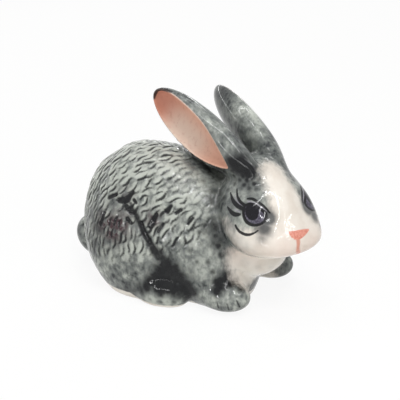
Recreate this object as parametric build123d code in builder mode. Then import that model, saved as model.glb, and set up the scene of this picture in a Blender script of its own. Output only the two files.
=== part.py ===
"""A crouching rabbit figurine in glazed porcelain, about 70 mm long.

The figure is slip cast in separate moulds and luted together before firing: a hollow torso with
its thighs, a hollow head turned to the rabbit's right, two pressed ears, a tail, two forelegs
and two hind feet. The frame has +X towards the chest, +Y to the rabbit's left and +Z up, with the
origin on the ground below the middle of the torso. All lengths are in millimetres.
"""

from build123d import *
from math import cos, pi, radians, sin
import os

# Torso casting
torso_length = 50.3
torso_behind = 24.4
torso_width = 33.8
torso_height = 37.7
torso_end_wall = 4.9
torso_side_wall = 3.2
torso_crown_wall = 4.3
torso_floor = 2.8
torso_hollow_dip = 0.9
neck_opening_radius = 3.5
vent_radius = 1.5

# Thighs, moulded with the torso
thigh_length = 28.6
thigh_thickness = 16.8
thigh_height = 34.6
thigh_tilt = -13.6
thigh_inset = 7.6

# Chest, moulded with the torso and set a little towards the turned head
chest_length = 18.6
chest_width = 17.8
chest_height = 16.0
chest_setback = 2.8
chest_aside = -0.8

# Head casting, in its own frame: X to the nose, origin between the eyes
head_length = 27.6
head_width = 22.9
head_height = 23.6
head_end_wall = 4.5
head_side_wall = 4.0
head_crown_wall = 4.0
head_turn = -36.0
head_lead = 5.0
head_aside = -4.5
head_drop = 9.25

# Ears
ear_length = 37.2
ear_width = 13.4
ear_depth = 8.7
ear_rim = 2.8
ear_opening_dip = 8.0
scoop_length = 22.0
scoop_width = 9.2
scoop_depth = 4.5

# Forelegs with their paws
foreleg_height = 26.0
foreleg_width = 11.5
foreleg_depth = 16.6
foreleg_tilt = -15.0
foreleg_inset = 8.3
paw_length = 14.4
paw_width = 8.9
paw_height = 8.8
paw_tilt = -5.0
paw_inset = 6.3
left_paw_lead = 4.0

# Hind feet
foot_length = 17.2
foot_width = 10.6
foot_height = 12.0
foot_inset = 4.5

# Tail
tail_length = 13.0
tail_width = 8.8
tail_height = 12.0
tail_tilt = 25.6

# How far a cutter runs past what it cuts, and how many points an outline has
overrun = 5.0
outline_points = 10

# The torso's own frame
figure = Plane.XY
right_side, left_side = -1, 1


def station(frame, along):
    """The plane across a frame's X axis, with its X along the frame's Y and its Y along its Z."""
    origin = frame.from_local_coords((along, 0, 0))
    return Plane(origin=origin, x_dir=frame.y_dir, z_dir=frame.x_dir)


def egg_section(plane, half_width, top, level, bottom, pinch=0.0):
    """An upright egg that is widest at level, as a face on a plane; pinch narrows its upper part."""
    outline = []
    for i in range(outline_points):
        angle = 2 * pi * i / outline_points
        upper = cos(angle) > 0
        reach = top - level if upper else level - bottom
        narrowing = 1 - pinch * cos(angle) ** 2 if upper else 1
        outline.append((half_width * sin(angle) * narrowing, level + reach * cos(angle)))
    with BuildSketch(plane) as section:
        with BuildLine():
            Spline(*outline, periodic=True)
        make_face()
    return section.sketch.face()


def ellipsoid(frame, length, width, height):
    """A solid ellipsoid about a frame's origin, with its length along the frame's X axis."""
    ball = Sphere(1 / 2, mode=Mode.PRIVATE)
    return frame * scale(ball, by=(length, width, height), mode=Mode.PRIVATE)


def tilted(origin, tilt):
    """A frame at a place, level across, whose X axis dips ahead by a tilt in degrees."""
    ahead = (cos(radians(tilt)), 0, -sin(radians(tilt)))
    upward = (sin(radians(tilt)), 0, cos(radians(tilt)))
    return Plane(origin=origin, x_dir=ahead, z_dir=upward)


# Torso stations: share of the length from the rump, then of the half width, and of the height at
# the top, at the widest level and at the bottom, which the ground plane cuts off
torso_shares = (
    (0.006, 0.18, 0.50, 0.40, 0.31),
    (0.045, 0.46, 0.69, 0.38, 0.08),
    (0.12, 0.72, 0.85, 0.37, -0.04),
    (0.23, 0.90, 0.96, 0.35, -0.14),
    (0.37, 0.99, 1.00, 0.36, -0.16),
    (0.52, 1.00, 0.99, 0.37, -0.16),
    (0.66, 0.93, 0.93, 0.37, -0.15),
    (0.79, 0.79, 0.83, 0.36, -0.14),
    (0.90, 0.56, 0.68, 0.34, -0.10),
    (0.965, 0.34, 0.54, 0.33, 0.09),
    (0.99, 0.17, 0.43, 0.32, 0.21),
)


def torso_sections():
    """The torso's sections from rump to chest."""
    sections = []
    for along, half_width, top, level, bottom in torso_shares:
        sections.append(
            egg_section(
                station(figure, torso_length * along - torso_behind),
                torso_width / 2 * half_width,
                torso_height * top,
                torso_height * level,
                torso_height * bottom,
            )
        )
    return sections


# Centres of the thighs and of the chest, as shares of the torso's length behind the origin and of
# its height
thigh_ahead_share = -0.213
thigh_rise_share = 0.345
chest_rise_share = 0.40

with BuildPart() as torso_form:
    loft(sections=torso_sections())
    for side in (right_side, left_side):
        thigh_centre = (
            torso_behind * thigh_ahead_share,
            side * (torso_width / 2 - thigh_inset),
            torso_height * thigh_rise_share,
        )
        add(ellipsoid(tilted(thigh_centre, thigh_tilt), thigh_length, thigh_thickness, thigh_height))
    chest_centre = (torso_length - torso_behind - chest_setback, chest_aside, torso_height * chest_rise_share)
    add(ellipsoid(tilted(chest_centre, 0), chest_length, chest_width, chest_height))
    split(bisect_by=Plane.XY, keep=Keep.TOP)

# Head frame: set ahead of the chest, level, and turned about the vertical
head_frame = Plane(
    origin=(torso_length - torso_behind + head_lead, head_aside, torso_height - head_drop),
    x_dir=(cos(radians(head_turn)), sin(radians(head_turn)), 0),
    z_dir=(0, 0, 1),
)

# Head stations: share of the length ahead of the eyes, then of the half width, and of the height
# above the eyes at the top, at the widest level and at the bottom; the cheeks are its widest part
head_pinch = 0.31
head_shares = (
    (-0.60, 0.22, 0.16, 0.02, -0.14),
    (-0.55, 0.54, 0.31, 0.00, -0.36),
    (-0.44, 0.86, 0.41, -0.06, -0.55),
    (-0.29, 1.00, 0.44, -0.14, -0.63),
    (-0.12, 0.99, 0.38, -0.21, -0.62),
    (0.04, 0.92, 0.24, -0.26, -0.55),
    (0.17, 0.81, 0.09, -0.28, -0.48),
    (0.27, 0.64, -0.07, -0.28, -0.42),
    (0.325, 0.42, -0.17, -0.275, -0.37),
    (0.35, 0.20, -0.23, -0.275, -0.325),
)


def head_sections():
    """The head's sections from the nape to the nose."""
    sections = []
    for along, half_width, top, level, bottom in head_shares:
        sections.append(
            egg_section(
                station(head_frame, head_length * along),
                head_width / 2 * half_width,
                head_height * top,
                head_height * level,
                head_height * bottom,
                head_pinch,
            )
        )
    return sections


with BuildPart() as head_form:
    loft(sections=head_sections())

# The head's hollow has its centre at shares of the head's length and height; the neck's opening
# under the head is at shares of the chest's reach, of the half width and of the torso's height,
# and the vent in the base at a share of the rump's reach
head_hollow_ahead_share, head_hollow_rise_share = -0.19, -0.125
neck_ahead_share, neck_aside_share, neck_rise_share = 0.68, -0.06, 0.62
neck_lean = (1.0, -0.15, 0.7)
vent_ahead_share = -0.25

# The hollow left in the torso when its slip is poured out, flat over the floor
with BuildPart() as torso_hollow:
    torso_hollow_top = torso_height - torso_crown_wall
    torso_hollow_height = torso_hollow_top - torso_floor + torso_hollow_dip
    torso_hollow_centre = (torso_length / 2 - torso_behind, 0, torso_hollow_top - torso_hollow_height / 2)
    add(
        ellipsoid(
            tilted(torso_hollow_centre, 0),
            torso_length - 2 * torso_end_wall,
            torso_width - 2 * torso_side_wall,
            torso_hollow_height,
        )
    )
    split(bisect_by=Plane.XY.offset(torso_floor), keep=Keep.TOP)

with BuildPart() as torso:
    add(torso_form.part)
    add(torso_hollow.part, mode=Mode.SUBTRACT)
    neck_place = (
        (torso_length - torso_behind) * neck_ahead_share,
        torso_width / 2 * neck_aside_share,
        torso_height * neck_rise_share,
    )
    with BuildSketch(Plane(origin=neck_place, z_dir=neck_lean)):
        Circle(neck_opening_radius)
    extrude(amount=overrun, both=True, mode=Mode.SUBTRACT)
    with BuildSketch(Plane(origin=(torso_behind * vent_ahead_share, 0, 0))):
        Circle(vent_radius)
    extrude(amount=torso_floor + overrun, both=True, mode=Mode.SUBTRACT)
torso.part.label = "torso"

with BuildPart() as head:
    add(head_form.part)
    add(torso_form.part, mode=Mode.SUBTRACT)
    head_hollow_centre = head_frame.from_local_coords(
        (head_length * head_hollow_ahead_share, 0, head_height * head_hollow_rise_share)
    )
    head_hollow_frame = Plane(origin=head_hollow_centre, x_dir=head_frame.x_dir, z_dir=head_frame.z_dir)
    add(
        ellipsoid(
            head_hollow_frame,
            head_length - 2 * head_end_wall,
            head_width - 2 * head_side_wall,
            head_height - 2 * head_crown_wall,
        ),
        mode=Mode.SUBTRACT,
    )
head.part.label = "head"

# Ears, each in the head's frame: its centre, as shares of the head's length, width and height,
# then the directions in which it leans and opens
right_ear_set = (-0.665, -0.419, 0.59), (-1.0, -0.452, 0.55), (0.244, -1.0, -0.131)
left_ear_set = (-0.818, 0.263, 0.484), (-1.0, 0.053, 0.341), (0.305, 1.0, 0.352)

# How far towards the tip the scoop that hollows an ear lies, as a share of the ear's length
scoop_ahead_share = 0.14


def ear_frame(ear_set):
    """An ear's frame: X to its tip and Z out of its open side."""
    (ahead, aside, rise), leaning, opening = ear_set
    lean = Vector(*leaning).normalized()
    facing = Vector(*opening)
    facing = (facing - lean * facing.dot(lean)).normalized()
    centre = Vector(head_length * ahead, head_width * aside, head_height * rise)
    origin = head_frame.from_local_coords(centre)
    along = head_frame.from_local_coords(lean) - head_frame.origin
    outward = head_frame.from_local_coords(facing) - head_frame.origin
    return Plane(origin=origin, x_dir=along, z_dir=outward)


def opening_frame(ear_set, ahead):
    """The plane of an ear's rim, which dips towards the tip, at a length ahead of the ear's middle."""
    frame = ear_frame(ear_set)
    dip = radians(ear_opening_dip)
    along = frame.x_dir * cos(dip) - frame.z_dir * sin(dip)
    outward = frame.x_dir * sin(dip) + frame.z_dir * cos(dip)
    return Plane(origin=frame.from_local_coords((0, 0, ear_rim)) + along * ahead, x_dir=along, z_dir=outward)


def ear_shell(ear_set):
    """An ear as pressed: an ellipsoid with a scoop in its open side."""
    outside = ellipsoid(ear_frame(ear_set), ear_length, ear_width, ear_depth)
    scoop_frame = opening_frame(ear_set, ear_length * scoop_ahead_share)
    return outside - ellipsoid(scoop_frame, scoop_length, scoop_width, scoop_depth * 2)


with BuildPart() as right_ear:
    add(ear_shell(right_ear_set))
    split(bisect_by=opening_frame(right_ear_set, 0), keep=Keep.BOTTOM)
    add(head_form.part, mode=Mode.SUBTRACT)
    add(torso_form.part, mode=Mode.SUBTRACT)
right_ear.part.label = "right_ear"

with BuildPart() as left_ear:
    add(ear_shell(left_ear_set))
    split(bisect_by=opening_frame(left_ear_set, 0), keep=Keep.BOTTOM)
    add(head_form.part, mode=Mode.SUBTRACT)
    add(torso_form.part, mode=Mode.SUBTRACT)
left_ear.part.label = "left_ear"

# Forelegs: an upright forearm over a paw, placed by shares of the torso's half length and height
foreleg_ahead_share = 0.49
foreleg_rise_share = 0.312
paw_ahead_share = 0.737
paw_rise_share = 0.118


def foreleg_form(side):
    """A foreleg and its paw, before they are trimmed to the ground and to the torso."""
    lead = left_paw_lead if side == left_side else 0
    torso_ahead = torso_length - torso_behind
    forearm_centre = (
        torso_ahead * foreleg_ahead_share + lead / 2,
        side * (torso_width / 2 - foreleg_inset),
        torso_height * foreleg_rise_share,
    )
    paw_centre = (
        torso_ahead * paw_ahead_share + lead,
        side * (torso_width / 2 - paw_inset),
        torso_height * paw_rise_share,
    )
    forearm = ellipsoid(tilted(forearm_centre, foreleg_tilt), foreleg_depth, foreleg_width, foreleg_height)
    paw = ellipsoid(tilted(paw_centre, paw_tilt), paw_length, paw_width, paw_height)
    return forearm + paw


with BuildPart() as right_foreleg:
    add(foreleg_form(right_side))
    add(torso_form.part, mode=Mode.SUBTRACT)
    split(bisect_by=Plane.XY, keep=Keep.TOP)
right_foreleg.part.label = "right_foreleg"

with BuildPart() as left_foreleg:
    add(foreleg_form(left_side))
    add(torso_form.part, mode=Mode.SUBTRACT)
    split(bisect_by=Plane.XY, keep=Keep.TOP)
left_foreleg.part.label = "left_foreleg"

# Hind feet, placed by shares of the torso's half length and height
foot_ahead_share = 0.10
foot_rise_share = 0.107


def foot_form(side):
    """A hind foot, before it is trimmed to the ground and to its neighbours."""
    centre = (
        (torso_length - torso_behind) * foot_ahead_share,
        side * (torso_width / 2 - foot_inset),
        torso_height * foot_rise_share,
    )
    return ellipsoid(tilted(centre, 0), foot_length, foot_width, foot_height)


with BuildPart() as right_hind_foot:
    add(foot_form(right_side))
    add(foreleg_form(right_side), mode=Mode.SUBTRACT)
    add(torso_form.part, mode=Mode.SUBTRACT)
    split(bisect_by=Plane.XY, keep=Keep.TOP)
right_hind_foot.part.label = "right_hind_foot"

with BuildPart() as left_hind_foot:
    add(foot_form(left_side))
    add(foreleg_form(left_side), mode=Mode.SUBTRACT)
    add(torso_form.part, mode=Mode.SUBTRACT)
    split(bisect_by=Plane.XY, keep=Keep.TOP)
left_hind_foot.part.label = "left_hind_foot"

# Tail, pressed low on the rump
tail_ahead_share = -0.918
tail_rise_share = 0.218
tail_centre = (torso_behind * tail_ahead_share, 0, torso_height * tail_rise_share)

with BuildPart() as tail:
    add(ellipsoid(tilted(tail_centre, tail_tilt), tail_length, tail_width, tail_height))
    add(torso_form.part, mode=Mode.SUBTRACT)
tail.part.label = "tail"

os.makedirs("parts", exist_ok=True)
export_step(torso.part, "parts/torso.step")
export_step(head.part, "parts/head.step")
export_step(right_ear.part, "parts/right_ear.step")
export_step(left_ear.part, "parts/left_ear.step")
export_step(right_foreleg.part, "parts/right_foreleg.step")
export_step(left_foreleg.part, "parts/left_foreleg.step")
export_step(right_hind_foot.part, "parts/right_hind_foot.step")
export_step(left_hind_foot.part, "parts/left_hind_foot.step")
export_step(tail.part, "parts/tail.step")
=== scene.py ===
"""Looks of the glazed porcelain rabbit figurine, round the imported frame.

It is modelled as one smooth form in millimetres, as the luted pieces make it, carved with fur,
divided into the pieces of the frame, painted and glazed.
"""

import bpy
import numpy as np
import openvdb
from mathutils import Matrix, Vector
from mathutils.bvhtree import BVHTree
from mathutils.kdtree import KDTree


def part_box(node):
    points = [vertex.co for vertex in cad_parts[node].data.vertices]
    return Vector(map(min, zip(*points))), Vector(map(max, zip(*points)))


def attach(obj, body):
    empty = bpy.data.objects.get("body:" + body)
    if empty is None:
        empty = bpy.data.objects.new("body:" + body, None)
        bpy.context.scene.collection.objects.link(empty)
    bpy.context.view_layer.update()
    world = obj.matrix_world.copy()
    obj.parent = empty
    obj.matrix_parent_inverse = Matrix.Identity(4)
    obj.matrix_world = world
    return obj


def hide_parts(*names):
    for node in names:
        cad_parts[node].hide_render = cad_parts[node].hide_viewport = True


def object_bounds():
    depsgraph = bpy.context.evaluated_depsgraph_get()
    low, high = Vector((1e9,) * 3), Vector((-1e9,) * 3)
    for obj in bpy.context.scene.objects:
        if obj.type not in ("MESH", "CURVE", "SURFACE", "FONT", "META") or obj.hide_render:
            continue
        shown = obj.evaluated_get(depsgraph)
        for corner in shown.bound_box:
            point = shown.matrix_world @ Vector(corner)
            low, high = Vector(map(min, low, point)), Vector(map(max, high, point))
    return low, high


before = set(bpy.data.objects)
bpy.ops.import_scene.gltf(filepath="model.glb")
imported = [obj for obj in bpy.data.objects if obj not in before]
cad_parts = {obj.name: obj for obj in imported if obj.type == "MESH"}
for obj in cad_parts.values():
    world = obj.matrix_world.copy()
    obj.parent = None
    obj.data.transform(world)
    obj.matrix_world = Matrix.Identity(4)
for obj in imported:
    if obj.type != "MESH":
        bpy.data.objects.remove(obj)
cad_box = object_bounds()
chance = np.random.default_rng(7)

MM = 0.001
UP = np.array((0.0, 0.0, 1.0))

# Figure sizes in millimetres, as the frame has them
TORSO_LENGTH, TORSO_BEHIND, TORSO_WIDTH, TORSO_HEIGHT = 50.3, 24.4, 33.8, 37.7
HEAD_LENGTH, HEAD_WIDTH, HEAD_HEIGHT = 27.6, 22.9, 23.6
HEAD_PLACE = np.array((30.9, -4.5, 28.45))
HEAD_TURN = np.radians(-36.0)
EAR_LENGTH, EAR_WIDTH, EAR_DEPTH, EAR_RIM = 37.2, 13.4, 8.7, 2.8
EAR_TAPER, EAR_OPENING_DIP = 0.15, np.radians(8.0)
EAR_RIM_ROUNDING, SCOOP_ROUNDING = 0.9, 0.5
SCOOP_AHEAD, SCOOP_RADII, SCOOP_POINT = 4.2, (14.0, 5.3, 4.6), 0.85
VENT_PLACE, VENT_RADIUS, VENT_DEPTH = np.array((-6.1, 0.0)), 1.5, 6.0

# Limbs: the middle, on the left where there are two, the tilt in degrees and the radii
THIGH = (-5.2, 9.3, 13), -13.6, (14.3, 8.4, 17.3)
CHEST = (23.1, -0.8, 15.08), 0, (9.3, 8.9, 8)
FOREARM = (12.7, 8.6, 11.75), -15, (8.3, 5.75, 13)
PAW = (19.1, 10.6, 4.44), 0, (7.2, 4.46, 4.42)
LEFT_PAW_LEAD = 4
HIND_FOOT = (2.6, 12.4, 4.05), 0, (8.6, 5.3, 6)
TAIL = (-22.4, 0, 8.2), 25.6, (6.5, 4.4, 6)

# Fillets that the slip leaves at the joints, and the rounding of the base's edge
THIGH_FILLET, CHEST_FILLET, PAW_FILLET, LEG_FILLET = 1.2, 2.0, 2.0, 2.2
FOOT_FILLET, TAIL_FILLET, EAR_FILLET, NECK_FILLET = 0.8, 1.0, 1.6, 1.1
BASE_ROUNDING = 0.5

# Swellings of the head, and hollows with a height below nothing: the height, the place on the
# right side in the head's frame, and the radii
HEAD_HILLS = {
    "cheek": (1, (-3, -9.6, -6.5), (5, 3, 4.5)),
    "muzzle": (0.7, (6.6, -4.4, -6.2), (2.8, 2.8, 2.4)),
    "eye": (0.5, (0.6, -7.6, 1.2), (3, 2, 3)),
    "eye_corner": (-0.45, (3.2, -5.6, 0.6), (1.3, 1.3, 2.6)),
    "nose": (0.3, (9, 0, -3.6), (1.6, 2.2, 1.2)),
    "mouth": (-0.35, (9.6, 0, -7.6), (2, 0.5, 1.8)),
}

# Stations along the torso and the head: share of the length, then of the half width, and of the
# height at the top, at the widest level and at the bottom
TORSO_SHARES = np.array((
    (0.006, 0.18, 0.50, 0.40, 0.31),
    (0.045, 0.46, 0.69, 0.38, 0.08),
    (0.12, 0.72, 0.85, 0.37, -0.04),
    (0.23, 0.90, 0.96, 0.35, -0.14),
    (0.37, 0.99, 1.00, 0.36, -0.16),
    (0.52, 1.00, 0.99, 0.37, -0.16),
    (0.66, 0.93, 0.93, 0.37, -0.15),
    (0.79, 0.79, 0.83, 0.36, -0.14),
    (0.90, 0.56, 0.68, 0.34, -0.10),
    (0.965, 0.34, 0.54, 0.33, 0.09),
    (0.99, 0.17, 0.43, 0.32, 0.21),
))
HEAD_SHARES = np.array((
    (-0.60, 0.22, 0.16, 0.02, -0.14),
    (-0.55, 0.54, 0.31, 0.00, -0.36),
    (-0.44, 0.86, 0.41, -0.06, -0.55),
    (-0.29, 1.00, 0.44, -0.14, -0.63),
    (-0.12, 0.99, 0.38, -0.21, -0.62),
    (0.04, 0.92, 0.24, -0.26, -0.55),
    (0.17, 0.81, 0.09, -0.28, -0.48),
    (0.27, 0.64, -0.07, -0.28, -0.42),
    (0.325, 0.42, -0.17, -0.275, -0.37),
    (0.35, 0.20, -0.23, -0.275, -0.325),
))
HEAD_ENDS, HEAD_PINCH = (-0.61, 0.357), 0.31


def unit(vectors):
    """Vectors at length one."""
    vectors = np.asarray(vectors, dtype=float)
    return vectors / np.maximum(np.linalg.norm(vectors, axis=-1, keepdims=True), 1e-9)


def heading(azimuth, elevation=0.0):
    """The direction of an azimuth and an elevation in radians."""
    level = np.array((np.cos(azimuth), np.sin(azimuth), 0.0))
    return level * np.cos(elevation) + np.sin(elevation) * UP


def tilted_axes(degrees):
    """Axes of a frame whose X axis dips ahead."""
    ahead = heading(0.0, -np.radians(degrees))
    return np.array((ahead, (0.0, 1.0, 0.0), np.cross(ahead, (0.0, 1.0, 0.0))))


HEAD_AHEAD = heading(HEAD_TURN)
HEAD_AXES = np.array((HEAD_AHEAD, np.cross(UP, HEAD_AHEAD), UP))


def head_local(points):
    """Places in the head's own frame."""
    return (points - HEAD_PLACE) @ HEAD_AXES.T


def head_world(points):
    """Places given in the head's own frame."""
    return np.asarray(points) @ HEAD_AXES + HEAD_PLACE


def smooth_min(a, b, blend):
    """The lesser of two fields, with a fillet of about the blend where they meet."""
    overlap = np.maximum(blend - np.abs(a - b), 0) / blend
    return np.minimum(a, b) - overlap * overlap * blend / 4


def smooth_max(a, b, blend):
    """The greater of two fields, with a rounded edge where they meet."""
    return -smooth_min(-a, -b, blend)


def ramp(low, high, value):
    """0 below low, 1 above high and an S-shaped rise between; low may be the greater."""
    t = np.clip((value - low) / (high - low), 0, 1)
    return t * t * (3 - 2 * t)


def hill(points, centre, radii):
    """A soft bump of height one round a centre, as wide as its radii."""
    return np.exp(-0.5 * (((points - centre) / radii) ** 2).sum(axis=-1))


def cubic(stations, values):
    """A natural cubic curve through stations, straight beyond both ends."""
    n = len(stations)
    step = np.diff(stations)
    rise = np.diff(values) / step
    matrix = np.eye(n)
    bends = np.zeros(n)
    for i in range(1, n - 1):
        matrix[i, i - 1:i + 2] = step[i - 1], 2 * (step[i - 1] + step[i]), step[i]
        bends[i] = 6 * (rise[i] - rise[i - 1])
    bends = np.linalg.solve(matrix, bends)

    def at(x):
        i = np.clip(np.searchsorted(stations, x) - 1, 0, n - 2)
        h = step[i]
        inside = np.clip(x, stations[0], stations[-1])
        a = (stations[i + 1] - inside) / h
        b = (inside - stations[i]) / h
        curve = a * values[i] + b * values[i + 1]
        curve += ((a ** 3 - a) * bends[i] + (b ** 3 - b) * bends[i + 1]) * h * h / 6
        curve += np.minimum(x - stations[0], 0) * (rise[0] - step[0] * bends[1] / 6)
        return curve + np.maximum(x - stations[-1], 0) * (rise[-1] + step[-1] * bends[-2] / 6)

    return at


class Loft:
    """A body of egg-shaped sections along X, as a field that is zero on its skin."""

    def __init__(self, shares, ends, length, width, height, pinch):
        stations = shares[:, 0] * length
        half = shares[:, 1] * width / 2
        top, level, bottom = (shares[:, i] * height for i in (2, 3, 4))
        ends = np.array(ends) * length
        places = np.array((ends[0], *stations, ends[1]))
        self.square = cubic(places, np.pad(half ** 2, 1))
        self.upper = cubic(stations, half / (top - level))
        self.lower = cubic(stations, half / (level - bottom))
        self.level = cubic(stations, level)
        self.limits = stations[0], stations[-1]
        self.pinch = pinch

    def raw(self, q):
        """Zero on the skin and less inside, but not a distance."""
        x = np.clip(q[:, 0], *self.limits)
        rise = q[:, 2] - self.level(x)
        tall = rise * np.where(rise > 0, self.upper(x), self.lower(x))
        square = self.square(q[:, 0])
        share = np.clip(np.where(rise > 0, tall * tall / np.maximum(square, 1.0), 0), 0, 1)
        across = q[:, 1] / (1 - self.pinch * share)
        return across ** 2 + tall ** 2 - square

    def field(self, q):
        """About the distance from the skin: the raw value over its gradient.

        That is too little ahead of a blunt end, so a share of the way beside a section is the least.
        """
        small, least_slope, beside_share = 0.05, 2.0, 0.6
        value = self.raw(q)
        slope = np.zeros(len(q))
        for shift in small * np.eye(3):
            slope += ((self.raw(q + shift) - value) / small) ** 2
        distance = value / np.maximum(np.sqrt(slope), least_slope)
        square = self.square(q[:, 0])
        beside = np.sqrt(np.maximum(value + square, 0)) - np.sqrt(np.maximum(square, 0))
        return np.where(value > 0, np.maximum(distance, beside_share * beside), distance)


TORSO_BACK = -TORSO_BEHIND / TORSO_LENGTH
TORSO = Loft(
    TORSO_SHARES + np.array((TORSO_BACK, 0, 0, 0, 0)), (TORSO_BACK, 1 + TORSO_BACK),
    TORSO_LENGTH, TORSO_WIDTH, TORSO_HEIGHT, 0,
)
HEAD = Loft(HEAD_SHARES, HEAD_ENDS, HEAD_LENGTH, HEAD_WIDTH, HEAD_HEIGHT, HEAD_PINCH)


def ellipsoid(q, radii):
    """About the distance from an ellipsoid at the origin of its own frame."""
    radii = np.array(radii)
    near = np.sqrt(((q / radii) ** 2).sum(axis=1))
    return near * (near - 1) / np.maximum(np.sqrt(((q / radii ** 2) ** 2).sum(axis=1)), 1e-6)


class Ear:
    """A pressed ear: a long drop with a scoop in its open side."""

    def __init__(self, centre, lean, opening):
        lean = unit(lean)
        facing = unit(opening - lean * np.dot(opening, lean))
        self.axes = np.array((lean, np.cross(facing, lean), facing)) @ HEAD_AXES
        self.centre = head_world(centre)

    def warped(self, points):
        """Places in the ear's frame, widened towards the base to narrow the ear there."""
        q = (points - self.centre) @ self.axes.T
        along = np.clip(q[:, 0] / (EAR_LENGTH / 2), -1.1, 1.1)
        narrow = 1 + EAR_TAPER * along
        return np.stack((q[:, 0], q[:, 1] / narrow, q[:, 2] / narrow), axis=1)

    def outside(self, q):
        """The ear without its scoop, for widened places."""
        return ellipsoid(q, (EAR_LENGTH / 2, EAR_WIDTH / 2, EAR_DEPTH / 2))

    def scoop(self, q):
        """Height over the plane of the rim, and the field of the scoop."""
        cos, sin = np.cos(EAR_OPENING_DIP), np.sin(EAR_OPENING_DIP)
        ahead = q[:, 0] * cos - (q[:, 2] - EAR_RIM) * sin
        outward = q[:, 0] * sin + (q[:, 2] - EAR_RIM) * cos
        ahead = (ahead - SCOOP_AHEAD) / SCOOP_RADII[0]
        across = q[:, 1] / np.sqrt(1 - SCOOP_POINT * np.clip(-ahead, 0, 1) ** 2)
        q = np.stack((ahead * SCOOP_RADII[0], across, outward), axis=1)
        return outward, ellipsoid(q, SCOOP_RADII)

    def lining(self, q):
        """One on the scooped face of the ear and nothing on its outside."""
        return ramp(0.75, 0.1, np.abs(self.scoop(q)[1]))

    def field(self, points):
        q = self.warped(points)
        outward, scoop = self.scoop(q)
        rimmed = smooth_max(self.outside(q), outward, EAR_RIM_ROUNDING)
        return smooth_max(rimmed, -scoop, SCOOP_ROUNDING)


# Each ear's middle, and the ways that it leans and that its scoop faces, in the head's frame
RIGHT_EAR = Ear((-18.35, -9.6, 13.92), (-1, -0.452, 0.55), (0.244, -1, -0.131))
LEFT_EAR = Ear((-22.58, 6.02, 11.42), (-1, 0.053, 0.341), (0.305, 1, 0.352))


def limb(points, size, side, ahead=0.0):
    """An ellipsoid by its middle, tilt and radii, on a side and moved ahead."""
    (x, y, z), tilt, radii = size
    return ellipsoid((points - np.array((x + ahead, side * y, z))) @ tilted_axes(tilt).T, radii)


def torso_field(points):
    thighs = np.minimum(limb(points, THIGH, -1), limb(points, THIGH, 1))
    body = smooth_min(TORSO.field(points), thighs, THIGH_FILLET)
    return smooth_min(body, limb(points, CHEST, 1), CHEST_FILLET)


def head_field(points):
    """The head, with its swellings and hollows the same on both sides."""
    q = head_local(points)
    q = np.stack((q[:, 0], -np.abs(q[:, 1]), q[:, 2]), axis=1)
    field = HEAD.field(q)
    for rise, centre, radii in HEAD_HILLS.values():
        field -= rise * hill(q, centre, radii)
    return field


def foreleg_field(points, side):
    lead = LEFT_PAW_LEAD if side > 0 else 0
    return smooth_min(limb(points, FOREARM, side, lead / 2), limb(points, PAW, side, lead), PAW_FILLET)


# Each piece's field, and what it is told: its size, and its side where there are two
FORMS = {
    "torso": (torso_field,),
    "head": (head_field,),
    "right_ear": (RIGHT_EAR.field,),
    "left_ear": (LEFT_EAR.field,),
    "right_foreleg": (foreleg_field, -1),
    "left_foreleg": (foreleg_field, 1),
    "right_hind_foot": (limb, HIND_FOOT, -1),
    "left_hind_foot": (limb, HIND_FOOT, 1),
    "tail": (limb, TAIL, 1),
}
PIECES = tuple(FORMS)
BOXES = {node: [np.array(corner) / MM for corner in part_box(node)] for node in PIECES}
FAR = 6.0


def nearby(points, node, field, *told):
    """A piece's field about its node's box, and a far value elsewhere."""
    low, high = BOXES[node]
    near = ((points > low - FAR) & (points < high + FAR)).all(axis=1)
    value = np.full(len(points), FAR)
    value[near] = field(points[near], *told)
    return value


def piece_fields(points):
    """The field of each piece by itself, in the order of PIECES."""
    return [nearby(points, node, *form) for node, form in FORMS.items()]


def figure_field(points):
    """The pieces luted together, ground flat below, with the vent in the base."""
    torso, head, right_ear, left_ear, *limbs = piece_fields(points)
    right_leg, left_leg, right_foot, left_foot, tail = limbs
    body = smooth_min(torso, np.minimum(right_leg, left_leg), LEG_FILLET)
    body = smooth_min(body, np.minimum(right_foot, left_foot), FOOT_FILLET)
    body = smooth_min(body, tail, TAIL_FILLET)
    top = smooth_min(head, np.minimum(right_ear, left_ear), EAR_FILLET)
    whole = smooth_min(body, top, NECK_FILLET)
    whole = smooth_max(whole, -points[:, 2], BASE_ROUNDING)
    bore = np.linalg.norm(points[:, :2] - VENT_PLACE, axis=1) - VENT_RADIUS
    vent = np.maximum(bore, points[:, 2] - VENT_DEPTH)
    return np.maximum(whole, -vent)


# Sampling: the voxel in millimetres, the voxels along a block's side, how far from the skin a block
# is still sampled, how far the grid reaches past the figure, and the points worked on at once
VOXEL, BLOCK, REACH, MARGIN, BATCH = 0.27, 8, 3.0, 3, 400000


def sample_figure(low, high):
    """The figure's field on a grid, exact near the skin."""
    counts = np.ceil((high - low) / (VOXEL * BLOCK)).astype(int)
    cells = np.indices(counts).reshape(3, -1).T
    coarse = figure_field(low + (cells + 0.5) * BLOCK * VOXEL)
    grid = np.repeat(coarse.astype(np.float32), BLOCK ** 3).reshape(*counts, BLOCK, BLOCK, BLOCK)
    inside = np.indices((BLOCK,) * 3).reshape(3, -1).T
    near = cells[np.abs(coarse) < REACH]
    points = (low + (near[:, None, :] * BLOCK + inside[None]) * VOXEL).reshape(-1, 3)
    parts = np.array_split(points, 1 + len(points) // BATCH)
    values = np.concatenate([figure_field(part) for part in parts])
    grid[tuple(near.T)] = values.reshape(-1, BLOCK, BLOCK, BLOCK)
    return grid.transpose(0, 3, 1, 4, 2, 5).reshape(counts * BLOCK)


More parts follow.
